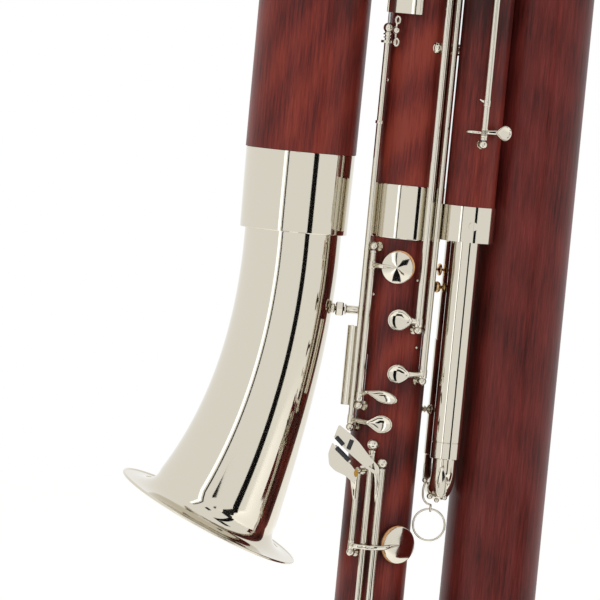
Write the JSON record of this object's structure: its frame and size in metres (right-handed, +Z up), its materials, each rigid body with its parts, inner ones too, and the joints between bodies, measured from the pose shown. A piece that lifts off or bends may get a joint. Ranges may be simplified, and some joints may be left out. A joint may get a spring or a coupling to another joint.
{
  "type": "contrabassoon",
  "caption": "Wooden contrabassoon with silver keywork on long rods, looped bows, a tuning slide and a metal bell that points down.",
  "frame": {"origin": "tip of the end pin, on the pin's axis", "axes": "+Z up along the tubes, the keyed front faces -Y, the bell stands at -X"},
  "size_m": [0.3982, 0.2902, 1.4824],
  "materials": {
    "red_wood": "polished varnish over red-stained maple",
    "silver": "polished silver plate on brass and nickel silver",
    "steel": "ground steel",
    "pad_leather": "thin skin over felt",
    "cork": "greased cork",
    "black_roller": "polished black resin"
  },
  "bodies": {
    "instrument": {"middle_joint": "red_wood", "bass_joint": "red_wood", "wing_joint": "red_wood", "bell_joint": "red_wood", "middle_ferrules": "silver", "bass_ferrules": "silver", "wing_ferrules": "silver", "bell_ferrules": "silver", "bell_tenon_cork": "cork", "metal_bell": "silver", "top_bow": "silver", "small_bow": "silver", "bottom_bow": "silver", "bow_guard": "silver", "pin_socket": "silver", "receiver_tube": "silver", "slide_sleeves": "silver", "bell_stay": "silver", "tube_braces": "silver", "tone_hole_chimneys": "silver", "ball_posts": "silver", "pivot_rods": "steel", "needle_springs": "steel", "key_guards": "silver", "band_screws": "silver", "strap_eyelet": "silver"},
    "end_pin": {"end_pin": "steel"},
    "pin_screw": {"pin_screw": "silver"},
    "slide": {"u_bend": "silver"},
    "water_key": {"water_key": "silver", "water_key_cork": "cork"},
    "pull_ring": {"pull_ring": "silver"},
    "crook": {"crook": "silver", "crook_cork": "cork"},
    "stay_nut": {"stay_nut": "silver"},
    "index_key": {"index_key": "silver", "index_pad": "pad_leather"},
    "middle_finger_key": {"middle_finger_key": "silver", "middle_finger_pad": "pad_leather"},
    "ring_finger_key": {"ring_finger_key": "silver", "ring_finger_pad": "pad_leather"},
    "side_key": {"side_key": "silver", "side_pad": "pad_leather"},
    "low_key": {"low_key": "silver", "low_pad": "pad_leather"},
    "far_low_key": {"far_low_key": "silver", "far_low_pad": "pad_leather"},
    "linked_low_key": {"linked_low_key": "silver", "linked_low_pad": "pad_leather"},
    "wing_key": {"wing_key": "silver", "wing_pad": "pad_leather"},
    "left_hand_key": {"left_hand_key": "silver", "left_hand_pad": "pad_leather"},
    "thumb_low_key": {"thumb_low_key": "silver", "thumb_low_pad": "pad_leather"},
    "thumb_high_key": {"thumb_high_key": "silver", "thumb_high_pad": "pad_leather"},
    "low_roller": {"low_roller": "black_roller"},
    "edge_roller": {"edge_roller": "black_roller"},
    "cross_roller": {"cross_roller": "black_roller"}
  },
  "joints": [
    {"name": "end_pin_slide", "type": "slide", "parent": "instrument", "child": "end_pin", "axis": [0, 0, 1], "range_m": [-0.1, 0.05]},
    {"name": "pin_screw_turn", "type": "hinge", "parent": "instrument", "child": "pin_screw", "pos_m": [0, 0, 0.194], "axis": [-0.2113, 0.9774, 0], "continuous": true},
    {"name": "tuning_slide", "type": "slide", "parent": "instrument", "child": "slide", "axis": [0, 0, -1], "range_m": [0, 0.03]},
    {"name": "water_key_hinge", "type": "hinge", "parent": "slide", "child": "water_key", "pos_m": [0.0015, -0.096, 0.606], "axis": [-1, 0, 0], "range_deg": [0, 14], "stiffness_Nm_per_rad": 0.02, "springref_deg": -17.19},
    {"name": "pull_ring_swing", "type": "hinge", "parent": "slide", "child": "pull_ring", "pos_m": [-0.0071, -0.0735, 0.5778], "axis": [1, 0, 0], "range_deg": [-8, 25]},
    {"name": "crook_swivel", "type": "hinge", "parent": "instrument", "child": "crook", "pos_m": [-0.0055, -0.043, 1.3], "axis": [0, 0, 1], "range_deg": [-18, 25]},
    {"name": "stay_nut_turn", "type": "hinge", "parent": "instrument", "child": "stay_nut", "pos_m": [-0.109, -0.058, 0.755], "axis": [1, 0, 0], "continuous": true},
    {"name": "index_key_close", "type": "hinge", "parent": "instrument", "child": "index_key", "pos_m": [-0.0355, -0.09345, 0.96], "axis": [0, 0, 1], "range_deg": [-7, 0], "stiffness_Nm_per_rad": 0.04, "springref_deg": 14.32},
    {"name": "middle_finger_key_close", "type": "hinge", "parent": "instrument", "child": "middle_finger_key", "pos_m": [-0.0267, -0.08676, 0.916], "axis": [0, 0, 1], "range_deg": [-7, 0], "stiffness_Nm_per_rad": 0.04, "springref_deg": 14.32},
    {"name": "ring_finger_key_close", "type": "hinge", "parent": "instrument", "child": "ring_finger_key", "pos_m": [-0.0889, -0.08126, 0.9405], "axis": [0, 0, 1], "range_deg": [0, 7], "stiffness_Nm_per_rad": 0.04, "springref_deg": -14.32},
    {"name": "side_key_close", "type": "hinge", "parent": "instrument", "child": "side_key", "pos_m": [-0.0829, -0.0881, 0.743], "axis": [0, 0, 1], "range_deg": [0, 7], "stiffness_Nm_per_rad": 0.04, "springref_deg": -14.32},
    {"name": "low_key_open", "type": "hinge", "parent": "instrument", "child": "low_key", "pos_m": [-0.0773, -0.09237, 0.5715], "axis": [0, 0, 1], "range_deg": [-7, 0], "stiffness_Nm_per_rad": 0.04, "springref_deg": 14.32},
    {"name": "far_low_key_open", "type": "hinge", "parent": "instrument", "child": "far_low_key", "pos_m": [-0.0561, -0.0987, 0.529], "axis": [0, 0, 1], "range_deg": [-7, 0], "stiffness_Nm_per_rad": 0.04, "springref_deg": 14.32},
    {"name": "linked_low_key_open", "type": "hinge", "parent": "instrument", "child": "linked_low_key", "pos_m": [-0.0664, -0.09721, 0.487], "axis": [0, 0, 1], "range_deg": [-11.5, 0], "stiffness_Nm_per_rad": 0.04, "springref_deg": 14.32},
    {"name": "wing_key_close", "type": "hinge", "parent": "instrument", "child": "wing_key", "pos_m": [0.0075, -0.11123, 1.0215], "axis": [0, 0, 1], "range_deg": [0, 7], "stiffness_Nm_per_rad": 0.04, "springref_deg": -14.32},
    {"name": "left_hand_key_close", "type": "hinge", "parent": "instrument", "child": "left_hand_key", "pos_m": [0.0075, -0.11123, 1.1825], "axis": [0, 0, 1], "range_deg": [-7, 0], "stiffness_Nm_per_rad": 0.04, "springref_deg": 14.32},
    {"name": "thumb_low_key_close", "type": "hinge", "parent": "instrument", "child": "thumb_low_key", "pos_m": [0.0755, 0.01562, 0.7], "axis": [0, 0, 1], "range_deg": [0, 6], "stiffness_Nm_per_rad": 0.04, "springref_deg": -14.32},
    {"name": "thumb_high_key_close", "type": "hinge", "parent": "instrument", "child": "thumb_high_key", "pos_m": [0.0755, 0.01562, 1.0925], "axis": [0, 0, 1], "range_deg": [0, 6], "stiffness_Nm_per_rad": 0.04, "springref_deg": -14.32},
    {"name": "low_roller_turn", "type": "hinge", "parent": "low_key", "child": "low_roller", "pos_m": [-0.1001, -0.103, 0.6292], "axis": [0.7634, 0, -0.6459], "continuous": true},
    {"name": "edge_roller_turn", "type": "hinge", "parent": "far_low_key", "child": "edge_roller", "pos_m": [-0.1011, -0.103, 0.6389], "axis": [0.7363, 0, -0.6766], "continuous": true},
    {"name": "cross_roller_turn", "type": "hinge", "parent": "far_low_key", "child": "cross_roller", "pos_m": [-0.0863, -0.103, 0.6374], "axis": [-0.2833, 0, -0.959], "continuous": true}
  ],
  "couplings": [
    {"joint": "linked_low_key_open", "follows": "far_low_key_open", "ratio": 1.6}
  ]
}
